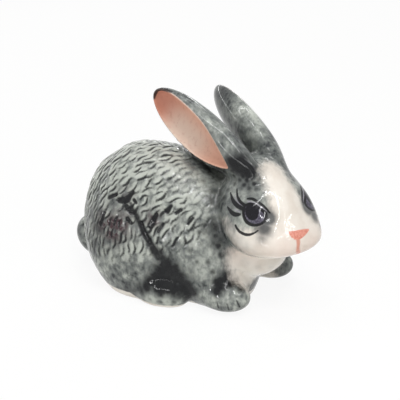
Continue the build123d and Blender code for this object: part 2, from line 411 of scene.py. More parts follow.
def settle(points):
    """Points moved onto the skin in two steps along the field's slope."""
    small, least_slope = 0.04, 0.3
    for _ in range(2):
        value = figure_field(points)
        slopes = [(figure_field(points + shift) - value) / small for shift in small * np.eye(3)]
        slopes = np.stack(slopes, axis=1)
        step = value / np.maximum((slopes ** 2).sum(axis=1), least_slope)
        points = points - np.clip(step, -VOXEL, VOXEL)[:, None] * slopes
    return points


def skin_mesh():
    """The figure's skin as points and quads, facing outwards."""
    low = np.array(cad_box[0]) / MM - MARGIN
    high = np.array(cad_box[1]) / MM + MARGIN
    volume = openvdb.FloatGrid(REACH)
    volume.copyFromArray(np.ascontiguousarray(sample_figure(low, high)))
    points, quads = volume.convertToQuads(0.0)
    points = np.asarray(points, dtype=float) * VOXEL + low
    quads = np.asarray(quads, dtype=int)
    if (point_normals(points, quads) * (points - points.mean(axis=0))).sum() < 0:
        quads = quads[:, ::-1]
    return settle(points), quads


def point_normals(points, quads):
    """Unit normals of a mesh at its points."""
    corner = points[quads]
    face = np.cross(corner[:, 2] - corner[:, 0], corner[:, 3] - corner[:, 1])
    corners = quads.ravel()
    normals = [np.bincount(corners, np.repeat(part, 4), len(points)) for part in face.T]
    return unit(np.stack(normals, axis=1))


skin, skin_quads = skin_mesh()
normals_out = point_normals(skin, skin_quads)
skin_tree = BVHTree.FromPolygons(skin.tolist(), skin_quads.tolist())
skin_search = KDTree(len(skin))
for index, point in enumerate(skin):
    skin_search.insert(point, index)
skin_search.balance()


def placed(name, data):
    """A new object in the scene."""
    thing = bpy.data.objects.new(name, data)
    bpy.context.scene.collection.objects.link(thing)
    return thing


# The photograph's side in pixels, and the millimetres that a pixel covers
PHOTO_SIZE, PIXEL = 400, 0.25

# Camera at the photograph's place, aimed a little above the middle of the figure
CAMERA_TURN, CAMERA_RISE = np.radians(24.0), np.radians(26.0)
CAMERA_MIDDLE, CAMERA_DISTANCE = np.array((11.0, -9.9, 22.0)), 260.0
CAMERA_LENS, CAMERA_SENSOR, AIM_RIGHT, AIM_UP = 93.6, 36.0, 1.25, 6.25
camera_right = heading(CAMERA_TURN)
camera_back = heading(CAMERA_TURN - np.pi / 2, CAMERA_RISE)
camera_up = np.cross(camera_back, camera_right)
camera_place = CAMERA_MIDDLE + CAMERA_DISTANCE * camera_back
camera_aim = CAMERA_MIDDLE + AIM_RIGHT * camera_right + AIM_UP * camera_up
camera = placed("camera", bpy.data.cameras.new("camera"))
camera.data.lens = CAMERA_LENS
camera.data.sensor_width = CAMERA_SENSOR
camera.data.clip_start = 0.01
camera.location = camera_place * MM
camera.rotation_euler = Vector(camera_place - camera_aim).to_track_quat("Z", "Y").to_euler()
bpy.context.scene.camera = camera


def on_skin(pixel):
    """The place on the skin that a pixel of the photograph shows, or None."""
    back = unit(camera_place - camera_aim)
    right = unit(np.cross(UP, back))
    up = np.cross(back, right)
    focus = PHOTO_SIZE * CAMERA_LENS / CAMERA_SENSOR
    across, down = pixel[0] - PHOTO_SIZE / 2, pixel[1] - PHOTO_SIZE / 2
    ray = unit(-back + across / focus * right - down / focus * up)
    hit = skin_tree.ray_cast(Vector(camera_place), Vector(ray))[0]
    return None if hit is None else np.array(hit)


def both_sides(place):
    """A place, and its match on the figure's other side unless it lies on an ear."""
    if min(ear.outside(ear.warped(place[None]))[0] for ear in (RIGHT_EAR, LEFT_EAR)) < 0.8:
        return [place]
    if head_field(place[None])[0] < 0.8:
        match = head_world(head_local(place) * (1, -1, 1))
    else:
        match = place * (1, -1, 1)
    return [place, np.array(skin_tree.find_nearest(Vector(match))[0])]


def around(place, radius):
    """The skin points near a place."""
    return np.array([found[1] for found in skin_search.find_range(Vector(place), radius)], dtype=int)


def curve_through(corners, step=0.5):
    """A smooth line of pixels through a few, with their brush widths."""
    corners = np.array(corners, dtype=float)
    reach = np.append(0, np.cumsum(np.linalg.norm(np.diff(corners[:, :2], axis=0), axis=1)))
    along = np.linspace(0, reach[-1], max(2, int(reach[-1] / step)))
    return np.stack([cubic(reach, column)(along) for column in corners.T], axis=1)


def alone(place):
    return [place]


def spots(pixel, sides, reach):
    """The skin points near a pixel's place and its matches, and how far off they are."""
    place = on_skin(pixel)
    for spot in () if place is None else sides(place):
        found = around(spot, reach)
        yield found, np.linalg.norm(skin[found] - spot, axis=1)


def brushed(lines, sides=both_sides, reach=3.0):
    """Signed distance from brush lines, whose corners are a pixel's x and y and a width."""
    distance = np.full(len(skin), reach)
    for line in lines:
        for x, y, width in curve_through(line):
            for found, away in spots((x, y), sides, reach):
                distance[found] = np.minimum(distance[found], away - width * PIXEL / 2)
    return distance


def dabbed(dabs, sides=both_sides):
    """Soft dabs on the skin, each a pixel's x and y, a radius and a strength."""
    amount = np.zeros(len(skin))
    for x, y, radius, strength in dabs:
        for found, away in spots((x, y), sides, 2.6 * radius):
            dab = strength * np.exp(-0.5 * (away / radius) ** 2)
            amount[found] = np.maximum(amount[found], dab)
    return amount


fields = dict(zip(PIECES, piece_fields(skin)))


def share_of(*nodes, border=1.2):
    """One on some pieces, and nothing further from them than the border."""
    return ramp(border, 0.0, np.min([fields[node] for node in nodes], axis=0))


torso_share = share_of("torso")
leg_share = share_of("right_foreleg", "left_foreleg")
foot_share = share_of("right_hind_foot", "left_hind_foot", border=1.0)
height = skin[:, 2]

# The coat's lie: down over the sides and the rump, and more to the rear and outwards over the back
side = np.where(skin[:, 1] > 0, 1.0, -1.0)
back_share = ramp(16, 31, height) * ramp(-21, -9, skin[:, 0])
outwards = side * (0.1 + 0.5 * back_share)
flow = np.stack((-0.2 - 0.55 * back_share, outwards, 0.5 * back_share - 1), axis=1)
flow -= normals_out * (flow * normals_out).sum(axis=1)[:, None]
flow = unit(flow)

# Fur: the calm shoulder, the least combing that takes a stroke, the places tried and the most
# strokes, their spacing along and across the coat, and the ranges that a stroke is drawn from
CALM_PLACE, CALM_RADII = (12, -6, 34), (5, 6, 6)
LEAST_COMBING, TRIES, MOST_STROKES = 0.12, 30000, 6000
SPACING, LENGTHS, WIDTHS, DEPTHS = (3.4, 1.15), (3.4, 5.6), (0.2, 0.36), (0.6, 1.0)
BENDS, SWAYS, WAVES = (-0.02, 0.09), (-0.3, 0.3), (3, 5)


def combing():
    """How deep the fur is combed: most over the back, less on the legs and low on the sides."""
    ahead = skin[:, 0]
    comb = torso_share * ramp(9, 20, height + 0.25 * (4 - ahead))
    comb *= 1 - 0.75 * hill(skin, CALM_PLACE, CALM_RADII)
    comb *= 1 - ramp(12, 19, ahead)
    comb = np.maximum(comb, 0.7 * leg_share * ramp(8, 21, height))
    low = 0.42 * np.maximum(torso_share, 0.8 * leg_share) * ramp(2.5, 6, height)
    return np.maximum(comb, low * ramp(21, 14, ahead))


comb = combing()


def scattered(along, across):
    """Skin points spread over the combed fur, further apart along the coat than across it."""
    candidates = chance.permutation(np.flatnonzero(comb > LEAST_COMBING))[:TRIES]
    taken = np.zeros((MOST_STROKES, 3))
    chosen = []
    for index in candidates:
        place = skin[index]
        apart = taken[:len(chosen)] - place
        down = apart @ flow[index]
        square = (down / along) ** 2 + ((apart ** 2).sum(axis=1) - down ** 2) / across ** 2
        if len(chosen) < len(taken) and (len(chosen) == 0 or square.min() > 1):
            taken[len(chosen)] = place
            chosen.append(index)
    return chosen


def comb_strokes():
    """How deep in a groove each point lies, and how high on the lip beside it."""
    groove, ridge = np.zeros((2, len(skin)))
    for index in scattered(*SPACING):
        strength = min(comb[index], 1.0)
        soft = 1 - strength
        length = chance.uniform(*LENGTHS) + 1.0 * soft
        width = chance.uniform(*WIDTHS) + 0.2 * soft
        bend = chance.uniform(*BENDS) * side[index]
        sway = chance.uniform(*SWAYS)
        ahead = unit(flow[index] + sway * np.cross(normals_out[index], flow[index]))
        across = np.cross(normals_out[index], ahead)
        found = around(skin[index], length / 2 + 1)
        apart = skin[found] - skin[index]
        u = apart @ ahead / (length / 2)
        v = apart @ across - bend * (apart @ ahead) ** 2
        v -= 0.2 * np.sin(chance.uniform(*WAVES) * u + chance.uniform(0, 6))
        window = np.clip(1 - np.abs(u) ** 2.4, 0, 1)
        lean = 0.75 + 0.25 * u
        depth = strength * chance.uniform(*DEPTHS)
        cut = np.exp(-0.5 * (v / width) ** 2)
        groove[found] = np.maximum(groove[found], depth * lean * window * cut)
        lip = np.exp(-0.5 * ((v - side[index] * 2.2 * width) / (1.7 * width)) ** 2)
        ridge[found] = np.maximum(ridge[found], depth * window * lip)
    return groove, ridge


groove, ridge = comb_strokes()

# Lines along pixels of the photograph, each corner with the line's width in pixels. The crease in
# front of the thigh and the holes above it are cut, and the crease is also darkened as a painted
# shadow; the lines between the toes are painted.
CREASE_LINES = (
    ((130, 204, 2.5), (134, 213, 4), (141, 226, 5), (147, 239, 6), (153, 250, 8), (159, 258, 9)),
)
TOE_LINES = (
    ((217, 302, 1.4), (218.6, 308, 2.2)),
    ((227, 304, 1.2), (229, 310, 2.0)),
    ((236.6, 300.6, 1.6), (239.6, 307, 2.6)),
)
HOLE_LINES = (
    ((109, 197, 5), (116, 194.5, 4)),
    ((119, 200, 6), (126, 199.5, 8), (130, 195, 5), (133, 192, 3)),
    ((134, 200, 4), (136, 203, 3)), ((126, 206, 5), (130, 212, 5)), ((127, 219, 5), (131, 223, 4)),
    ((167, 211, 6), (171, 206, 4)), ((176, 213, 4), (181, 210, 3)),
    ((150, 226, 6), (156, 215, 5)), ((158, 232, 3), (163, 224, 3)),
    ((100, 224, 4), (104, 213, 4)), ((188, 224, 3), (193, 218, 3)),
    ((140, 224, 6), (144, 235, 6), (149, 243, 5)),
)
GROOVE_DEPTH, RIDGE_HEIGHT, CREASE_DEPTH, HOLE_DEPTH = 0.25, 0.17, 0.45, 0.35

crease = ramp(1.1, -0.6, brushed(CREASE_LINES))
holes = ramp(0.35, -0.3, brushed(HOLE_LINES))
relief = -GROOVE_DEPTH * groove + RIDGE_HEIGHT * ridge - CREASE_DEPTH * crease - HOLE_DEPTH * holes
relief *= ramp(0.4, 1.6, height)
shown_points = skin + normals_out * relief[:, None]
shown_normals = point_normals(shown_points, skin_quads)

# Painted lines, given in the same way; the eye's are its outline, the fold above it, three lashes
# and the line below
EYE_LINES = (
    ((244.5, 206, 2.4), (250, 203.4, 2.2), (255, 205, 2.2), (260.5, 209.2, 2.6), (265.3, 213.4, 3.4),
     (266, 217.5, 2.8), (263.5, 222.2, 2.4), (258.5, 224.8, 2.4), (252.5, 225, 2.8), (247.2, 222.4, 3.2),
     (244.3, 217.8, 3.2), (243.6, 212, 3.2), (244.5, 206, 3)),
    ((247.6, 198.6, 2), (252.6, 199, 2.8), (258, 202, 2.6), (263, 205.6, 2.4), (267, 209.6, 1.8),
     (270, 213, 1.2)),
    ((245, 205.5, 2.8), (240.5, 201.8, 3), (237.6, 196.5, 2.4), (237, 189, 1.2)),
    ((243, 209, 3.6), (237, 205.4, 4.4), (232.8, 200, 3.6), (230.5, 192.6, 1.2)),
    ((240, 214.4, 2.2), (235, 214.4, 4.4), (231, 211.6, 3.8), (227.6, 206.8, 1.2)),
    ((235.5, 225.6, 2.4), (238.4, 230.4, 2.8), (243, 233.6, 2.8), (248, 234.8, 2.6), (253, 233.6, 2),
     (258, 230.6, 1.2)),
)
PUPIL_LINE = ((250.6, 208.8, 11), (251.6, 211.6, 13.5), (252.6, 214.8, 11))
IRIS_LINE = ((249, 209.6, 12), (253, 213.4, 18), (257.4, 216.6, 14))
LILAC_LINES = (
    ((248, 201.6, 1.6), (254, 202.8, 1.6), (260, 206.4, 1.6), (266, 211, 1.4)),
    ((241.6, 205.4, 1.2), (237, 201, 1.0), (234.5, 195, 0.8)),
    ((239.6, 211.8, 1.4), (234.4, 209.4, 1.2)),
)
NOSE_LINES = (
    ((289.6, 232.4, 2.0), (296, 231.8, 2.6), (302, 230.8, 2.6), (308.4, 229.6, 1.8)),
    ((290.6, 234.4, 2.6), (298, 234, 3.4), (305.4, 232, 2.6)),
    ((292.2, 236.4, 2.8), (298, 236.4, 3.4), (303.4, 234.6, 2.6)),
    ((294.6, 238.4, 2.4), (300, 237.6, 3.0)),
    ((308, 230.2, 2.0), (304.6, 233.4, 3.4), (301, 236.8, 3.4)),
)
MOUTH_LINES = (
    ((298, 239, 5), (298.4, 245, 4.4), (298, 250, 5), (297.6, 254, 5.5)),
    ((293.6, 256.6, 2.0), (298, 255, 2.6), (302, 253.6, 1.6)),
)
TIP_LINES = (
    ((153.4, 112, 1.4), (153, 104, 3.6), (153.2, 97, 5.4), (155.6, 91, 6.4), (161, 89, 5.4),
     (167, 90, 3), (172, 92, 1.4)),
)

# Soft dabs, each a pixel of the photograph, a radius in millimetres and a strength: where the
# porcelain is left bare, then darker patches, partly black paint and partly painted shade, and
# lighter patches, partly pale paint and partly painted light, over the coat and the face
BARE_DABS = (
    (274, 172, 3.4, 1), (266, 174, 2, 0.8), (279, 182, 3.2, 1.2), (283, 192, 3.2, 1.4),
    (287, 203, 3.2, 1.6), (291, 214, 3.6, 1.7), (284, 208, 3, 1.2), (290, 226, 4.2, 1.8),
    (283, 238, 4.2, 1.8), (292, 247, 4, 1.8), (306, 240, 4, 1.8), (274, 249, 4, 1.7),
    (262, 250, 3.6, 1.6), (250, 246, 3.2, 1.4), (240, 241, 2.8, 1.1), (231, 232, 2.6, 0.75),
    (226, 222, 2.2, 0.6), (266, 240, 3.2, 1), (252, 240, 2.6, 0.95), (298, 228, 3.6, 1.7),
    (262, 264, 4.2, 1.5), (246, 262, 3.6, 1.4), (278, 262, 3.8, 1.5), (250, 276, 3.6, 1.2),
    (240, 272, 3, 0.9), (262, 276, 3.2, 1.2), (236, 262, 2.6, 0.8), (230, 252, 1.8, 0.6),
)
# Darker patches: black paint on the coat, brow, legs, feet and ear tip, and painted shade in the hollow
# above the hind foot, behind the near ear and the cheek, and over the rump
SHADE_DABS = (
    (118, 200, 6, 0.35), (150, 212, 5, 0.3), (175, 214, 4, 0.25), (95, 205, 4, 0.3), (140, 195, 4, 0.2),
    (218, 246, 0.9, 1), (221, 255, 0.9, 1), (216, 236, 0.9, 0.9), (208, 262, 0.8, 0.7),
    (200, 244, 0.7, 0.6), (212, 272, 0.8, 0.8), (197, 262, 0.7, 0.6), (190, 250, 0.8, 0.7),
    (206, 226, 0.8, 0.8), (198, 232, 0.7, 0.7), (247, 180, 0.7, 1.1), (251, 178, 0.6, 1.1),
    (254, 184, 0.7, 1), (244, 185, 0.7, 1), (249, 188, 0.7, 0.9), (256, 189, 0.6, 0.8),
    (252, 172, 0.6, 1), (258, 180, 0.5, 0.8), (240, 180, 0.8, 0.9), (235, 184, 0.7, 0.8),
    (262, 185, 0.5, 0.7), (243, 176, 0.8, 1.1), (228, 190, 0.8, 0.7), (224, 198, 0.8, 0.7),
    (234, 176, 0.8, 0.8), (240, 166, 2.4, 1.4), (232, 163, 1.8, 1.1), (248, 171, 2, 1.3),
    (236, 178, 2.6, 0.55), (250, 184, 2.4, 0.6), (245, 178, 2.4, 0.6), (258, 178, 1.6, 0.5),
    (268, 219, 1.8, 0.8), (266, 229, 2.2, 0.8), (264, 238, 2, 0.45), (272, 213, 1.6, 0.5),
    (273, 226, 1.4, 0.45), (222, 182, 3, 0.5), (219, 205, 2, 0.6), (216, 190, 3, 0.75), (218, 170, 3, 1),
    (206, 168, 3.2, 0.8), (196, 163, 3, 0.6), (212, 178, 3, 0.75), (214, 226, 2.8, 0.8),
    (217, 240, 2.4, 0.75), (222, 252, 2, 0.6), (213, 200, 2.4, 0.7), (160, 253, 1.2, 1),
    (162, 259, 1.5, 1.1), (166, 265, 1.9, 1.3), (172, 271, 2.2, 1.3), (178, 278, 2.2, 1.3),
    (162, 271, 1.9, 1.2), (157, 277, 1.8, 1.2), (166, 279, 2.4, 1.3), (184, 285, 2, 1.3),
    (189, 291, 1.8, 1.3), (152, 282, 1.7, 1.2), (147, 287, 1.7, 1.1), (160, 287, 2.2, 1.2),
    (172, 287, 2.3, 1.2), (142, 290, 1.4, 0.9), (154, 294, 1.6, 0.4), (167, 296, 1.5, 0.35),
    (180, 294, 1.9, 0.9), (187, 298, 1.4, 1), (174, 302, 0.7, 0.7), (161, 302, 0.6, 0.8),
    (150, 299, 0.7, 0.6), (221, 284, 1.7, 1.4), (229, 280, 1.8, 1.4), (217, 291, 1.3, 1.2),
    (236, 282, 1.3, 1.2), (241, 288, 1.1, 1), (225, 275, 1.8, 0.8), (229, 264, 2, 0.6),
    (190, 270, 1.4, 0.5), (130, 290, 2.2, 0.5), (94, 243, 4, 0.6), (96, 228, 3.4, 0.6),
    (92, 212, 3.2, 0.5), (100, 246, 4, 0.4), (120, 240, 3, 0.35), (84, 190, 3, 0.4), (156, 89, 1.3, 1.2),
    (153.5, 95, 1.1, 1.2), (153.5, 102, 0.9, 1.1), (161, 88, 1.2, 1.2), (166, 89, 0.9, 0.9),
    (154.5, 108, 0.6, 0.9), (230, 120, 3, 0.3), (220, 108, 2.8, 0.3), (222, 92, 4, 0.6),
    (218, 104, 3, 0.5), (236, 100, 2.4, 0.3), (262, 128, 2.4, 0.3), (256, 142, 2.4, 0.35),
    (296, 176, 2.6, 0.5), (293, 186, 2, 0.4), (299, 190, 1.2, 0.4), (286, 170, 2, 0.5), (98, 214, 3, 0.3),
    (90, 200, 3, 0.3), (116, 198, 2, 0.4),
)
FAR_PAW_DABS = ((270, 276, 2.2, 0.8), (278, 275, 2.2, 0.6), (284, 268, 1.6, 0.5))
# Grey washes on the face: grey paint by the eye and on the brow, and painted shade down the cheek and
# under the chin
GREY_VEIL_AND_SHADE_DABS = (
    (248, 209, 1.6, 0.5), (267.6, 218.5, 1.5, 1.8), (265, 229, 1.6, 1.2), (262, 238, 1.6, 0.7),
    (268, 224, 1.2, 1), (270, 212, 1, 0.7), (247.6, 211, 1.2, 0.5), (230, 226, 3, 0.55),
    (234, 240, 3, 0.5), (244, 248, 2.6, 0.35), (250, 192, 2, 0.4), (262, 190, 2.2, 0.4),
    (243, 186, 2, 0.4), (257, 238, 2, 0.2), (292, 178, 1.8, 0.4), (277, 168, 1.6, 0.35),
    (244, 262, 1.4, 0.3), (258, 267, 1.4, 0.3), (272, 266, 1.4, 0.3), (232, 256, 1.4, 0.35),
)
# Lighter patches: pale paint, and painted light where light falls on the upper back, the shoulder, the
# paws and the far ear
LIGHT_DABS = (
    (205, 182, 3.4, 0.7), (214, 178, 2.4, 0.5), (190, 205, 3.4, 0.5), (150, 185, 5, 0.4),
    (180, 178, 4, 0.4), (205, 250, 3.4, 0.4), (200, 265, 3.4, 0.45), (236, 297, 2.2, 0.6),
    (228, 301, 2.2, 0.6), (214, 299, 2.4, 0.5), (207, 238, 2.6, 0.3), (196, 240, 2.6, 0.35),
    (212, 268, 2.6, 0.2), (140, 250, 3, 0.3), (128, 262, 3, 0.2), (112, 256, 3, 0.15),
    (240, 300, 3.2, 0.4), (232, 305, 3, 0.4), (210, 130, 3.6, 0.3), (198, 117, 3, 0.3),
    (224, 146, 2.8, 0.25), (242, 196, 2, 0.5), (232, 186, 2.4, 0.4), (177, 101, 1.4, 0.6),
    (184, 108, 1.4, 0.5), (238, 224, 2.6, 0.6), (246, 229, 2, 0.6), (257, 192, 2.2, 0.5),
    (266, 190, 2.4, 0.55), (232, 218, 2.2, 0.5), (120, 175, 4, 0.5), (250, 108, 3.4, 0.9),
    (243, 94, 2.6, 0.6), (258, 122, 2.6, 0.6), (248, 135, 3, 0.4), (177, 220, 3, 0.45),
    (160, 200, 3, 0.4), (100, 165, 4.5, 0.6), (125, 150, 4.5, 0.6), (150, 150, 4, 0.6),
    (165, 165, 4, 0.5), (142, 170, 4, 0.5), (152, 300, 1.6, 0.9), (166, 303, 1.6, 0.9),
    (178, 302, 1.2, 0.7),
)
MAROON_DABS = (
    (104, 224, 2.4, 1.2), (112, 228, 2.8, 1.5), (120, 224, 2.4, 1.3), (154, 219, 1.6, 1.2),
    (127, 197, 1.8, 0.5),
)
# Pink by the muzzle is blush; along the jaw it is a painted shadow and reflection
BLUSH_AND_JAW_SHADOW_DABS = (
    (312, 246, 3, 0.5), (300, 252, 2.6, 0.5), (236, 250, 2.4, 0.35), (250, 256, 2.4, 0.35),
    (275, 256, 3, 0.3),
)

# The base has a bare rim, which is narrower on the feet and paws
under = ramp(2.9, 1.3, height + foot_share + 1.7 * leg_share)
bare = np.maximum(dabbed(BARE_DABS), 1.3 * under)
# Painted shade in the crevices, where the second nearest piece is close
second = np.sort(np.array(list(fields.values())), axis=0)[1]
crevice_shade = np.exp(-np.maximum(second, 0) / 0.7) * (1 - ramp(0.5, 1.0, bare))
toes = ramp(0.3, -0.3, brushed(TOE_LINES))
dark_dabs = np.maximum(dabbed(SHADE_DABS), dabbed(FAR_PAW_DABS, alone))
# The dark mask: the darker dabs, painted shade in the crevices and a painted shadow along the crease in
# front of the thigh, with the darkened holes and the painted toe lines
shade = np.max((dark_dabs, 0.8 * crevice_shade, crease, 1.2 * holes, toes), axis=0)

# Where the ears are lined, and how far along and across its ear each point lies
inner, ear_along, ear_across = np.zeros((3, len(skin)))
for ear in (RIGHT_EAR, LEFT_EAR):
    q = ear.warped(skin)
    found = ear.outside(q) < 1.5
    q = q[found]
    inner[found] = np.maximum(inner[found], ear.lining(q))
    ear_along[found] = q[:, 0] / EAR_LENGTH + 0.5
    ear_across[found] = q[:, 1] / EAR_WIDTH * (1 if ear is RIGHT_EAR else -1) + 0.5

# What the points hold for the paint: amounts, and distances from brush lines
PAINT = {
    "groove": groove, "ridge": ridge, "bare": bare, "shade": shade,
    "inner": inner, "ear_along": ear_along, "ear_across": ear_across,
    "light": dabbed(LIGHT_DABS), "grey_veil_and_shade": dabbed(GREY_VEIL_AND_SHADE_DABS),
    "maroon": dabbed(MAROON_DABS), "blush_and_jaw_shadow": dabbed(BLUSH_AND_JAW_SHADOW_DABS),
    "ink": brushed(EYE_LINES), "lilac": brushed(LILAC_LINES),
    "pupil": brushed((PUPIL_LINE,)), "iris": brushed((IRIS_LINE,)),
    "nose": brushed(NOSE_LINES, alone), "mouth": brushed(MOUTH_LINES, alone),
    "tip": brushed(TIP_LINES, alone),
}


def srgb(red, green, blue):
    """A colour read as 0 to 255, in the linear scale of the shaders."""
    share = np.array((red, green, blue)) / 255
    return (*np.where(share < 0.04045, share / 12.92, ((share + 0.055) / 1.055) ** 2.4), 1.0)


# Paints of the coat, from dark to pale, and of what is brushed over it
COAT_COLOURS = srgb(48, 51, 53), srgb(112, 116, 113), srgb(176, 180, 172)
# The last black is laid over the dark mask, both as brushed black paint and as painted shade
MAROON, GROOVE_BLACK, BLACK_PAINT_AND_SHADE = srgb(66, 48, 52), srgb(12, 13, 16), srgb(9, 10, 14)
# The pink is both the blush by the muzzle and a painted shadow and reflection along the jaw
PORCELAIN, WARM_PORCELAIN, BLUSH_AND_JAW_SHADOW = srgb(225, 219, 210), srgb(213, 204, 193), srgb(222, 178, 162)
# Grey of the face's washes: grey paint, and painted shade on the cheek and under the chin
GREY_VEIL_AND_SHADE = srgb(62, 65, 67)

# Paints of the ears' lining and its rim
LINING_TIP, LINING, LINING_ROOT = srgb(194, 134, 114), srgb(216, 170, 148), srgb(214, 168, 146)
LINING_CREAM, LINING_STREAK = srgb(222, 210, 196), srgb(172, 112, 94)
DARK_RIM, PALE_RIM, DARK_TIP = srgb(58, 48, 46), srgb(214, 190, 176), srgb(30, 24, 24)

# Paints of the nose, mouth and eyes
NOSE_COLOURS, MOUTH = (srgb(218, 146, 128), srgb(204, 122, 104)), srgb(204, 138, 116)
LILAC, IRIS_COLOURS = srgb(140, 136, 146), (srgb(64, 60, 74), srgb(104, 101, 114))
PUPIL_BLACK, INK = srgb(10, 9, 16), srgb(8, 8, 13)


class Nodes:
    """The nodes of a material or of the world."""

    def __init__(self, owner):
        owner.use_nodes = True
        self.tree = owner.node_tree

    def fill(self, node, inputs):
        """A node's inputs linked or set; the node's outputs."""
        for name, value in inputs.items():
            if hasattr(value, "is_output"):
                self.tree.links.new(value, node.inputs[name])
            else:
                node.inputs[name].default_value = value
        return node.outputs

    def node(self, kind, inputs, **settings):
        """The outputs of a new node."""
        node = self.tree.nodes.new("ShaderNode" + kind)
        for name, value in settings.items():
            setattr(node, name, value)
        return self.fill(node, inputs)

    def maths(self, kind, first, second):
        return self.node("Math", {0: first, 1: second}, operation=kind)[0]

    def white_where_seen(self, plain, kind, share, end):
        """Mostly white for rays that see a surface straight, by reflection or through glass."""
        rays = self.node("LightPath", {})
        seen = rays["Is Camera Ray"]
        for ray in ("Is Glossy Ray", "Is Transmission Ray"):
            seen = self.maths("MAXIMUM", seen, rays[ray])
        seen = self.maths("MULTIPLY", seen, share)
        white = self.node(kind, {"Color": (1, 1, 1, 1), "Strength": 1.0})[0]
        mixed = self.node("MixShader", {"Fac": seen, 1: plain, 2: white})[0]
        self.fill(self.tree.nodes[end], {"Surface": mixed})


class Glaze(Nodes):
    """A painted and glazed surface, built up in layers."""

    def __init__(self, name):
        self.material = bpy.data.materials.new(name)
        super().__init__(self.material)
        self.place = self.node("TexCoord", {})["Object"]
        self.fine = self.noise(0.45, 2.0)
        self.streak = self.noise(0.9, 3.0, (1.0, 1.0, 2.2))
        self.cloud = self.noise(4.5, 4.0)
        self.patch = self.noise(1.7, 3.0)

    def amount(self, name):
        """What the points hold under a name."""
        return self.node("Attribute", {}, attribute_name=name)["Fac"]

    def noise(self, size, detail, stretch=(1.0, 1.0, 1.0)):
        """Cloudy noise with lumps of a size in millimetres."""
        scale = [1 / (size * MM * part) for part in stretch]
        place = self.node("Mapping", {"Vector": self.place, "Scale": scale})["Vector"]
        inputs = {"Vector": place, "Scale": 1.0, "Detail": detail, "Roughness": 0.55}
        return self.node("TexNoise", inputs)["Fac"]

    def plus(self, value, *others):
        for other in others:
            value = self.maths("ADD", value, other)
        return value

    def times(self, first, second):
        return self.maths("MULTIPLY", first, second)

    def swing(self, noise, share):
        """Noise that goes as far below nothing as above it."""
        return self.times(self.maths("SUBTRACT", noise, 0.5), share)

    def step(self, value, low, high, least=0.0, most=1.0):
        """A soft step from least to most as a value goes from low to high."""
        inputs = {"Value": value, "From Min": low, "From Max": high, "To Min": least, "To Max": most}
        return self.node("MapRange", inputs, interpolation_type="SMOOTHSTEP")["Result"]

    def layer(self, below, paint, amount):
        """A paint laid over another where the amount is high."""
        return self.node("Mix", {"Factor": amount, "A": below, "B": paint}, data_type="RGBA")["Result"]

    def over(self, below, paint, name, noise, share, low, high, cover=1.0):
        """A paint where an amount, made uneven by a share of noise, nears high."""
        amount = self.plus(self.amount(name), self.swing(noise, share))
        return self.layer(below, paint, self.step(amount, low, high, 0.0, cover))


def painted_coat(glaze, mottle):
    """The mottled grey coat, with dark grooves, a maroon stain, painted light, and patches brushed black
    and painted shade.
    """
    tone = glaze.plus(
        glaze.swing(glaze.cloud, 1.5 * mottle),
        glaze.swing(glaze.patch, 1.6 * mottle),
        glaze.swing(glaze.streak, 0.9),
        # Lighter patches from the dabs, partly pale paint and partly painted light
        glaze.times(glaze.amount("light"), 0.9),
        glaze.times(glaze.amount("ridge"), 0.75),
        0.22,
    )
    dark, middle, pale = COAT_COLOURS
    colour = glaze.layer(dark, middle, glaze.step(tone, -0.2, 0.45))
    colour = glaze.layer(colour, pale, glaze.step(tone, 0.3, 1.1))
    maroon = glaze.times(glaze.amount("maroon"), glaze.step(glaze.patch, 0.3, 0.62))
    colour = glaze.layer(colour, MAROON, glaze.times(maroon, 0.9))
    colour = glaze.over(colour, GROOVE_BLACK, "groove", glaze.fine, 0.35, 0.12, 0.56, 0.92)
    # Black over the dark mask: brushed black paint, and painted shade in hollows, crevices and the crease
    return glaze.over(colour, BLACK_PAINT_AND_SHADE, "shade", glaze.patch, 1.1, 0.15, 1.05, 0.97)


def left_bare(glaze, colour):
    """The porcelain where the coat leaves it bare, pink by the muzzle and in a painted shadow and
    reflection along the jaw, with thin grey washes of grey paint and painted shade.
    """
    porcelain = glaze.layer(PORCELAIN, WARM_PORCELAIN, glaze.step(glaze.cloud, 0.35, 0.75))
    # Pink: blush by the muzzle, and a painted shadow and reflection along the jaw
    porcelain = glaze.layer(porcelain, BLUSH_AND_JAW_SHADOW, glaze.times(glaze.amount("blush_and_jaw_shadow"), 0.5))
    colour = glaze.over(colour, porcelain, "bare", glaze.streak, 0.5, 0.3, 0.95)
    # Grey over the face: grey paint, and painted shade on the cheek and under the chin
    return glaze.over(colour, GREY_VEIL_AND_SHADE, "grey_veil_and_shade", glaze.patch, 0.4, 0.06, 1.15, 0.92)


def lined_ears(glaze, colour):
    """The pink lining of the ears, creamy in the scoop, its rim and the near ear's dark tip."""
    along, across = glaze.amount("ear_along"), glaze.amount("ear_across")
    lining = glaze.layer(LINING_TIP, LINING, glaze.step(along, 0.95, 0.68))
    cream = glaze.times(glaze.step(across, 0.42, 0.85), glaze.step(along, 0.92, 0.74))
    lining = glaze.layer(lining, LINING_CREAM, glaze.times(cream, 0.75))
    lining = glaze.layer(lining, LINING_ROOT, glaze.step(along, 0.6, 0.36, 0.0, 0.9))
    lining = glaze.layer(lining, LINING_STREAK, glaze.step(glaze.streak, 0.5, 0.8, 0.0, 0.4))
    rim = glaze.layer(DARK_RIM, PALE_RIM, glaze.step(across, 0.5, 0.32))
    colour = glaze.over(colour, rim, "inner", glaze.fine, 0.25, 0.1, 0.4, 0.85)
    colour = glaze.over(colour, lining, "inner", glaze.fine, 0.25, 0.5, 0.8)
    return glaze.over(colour, DARK_TIP, "tip", glaze.patch, 0.8, 0.25, -0.2, 0.92)


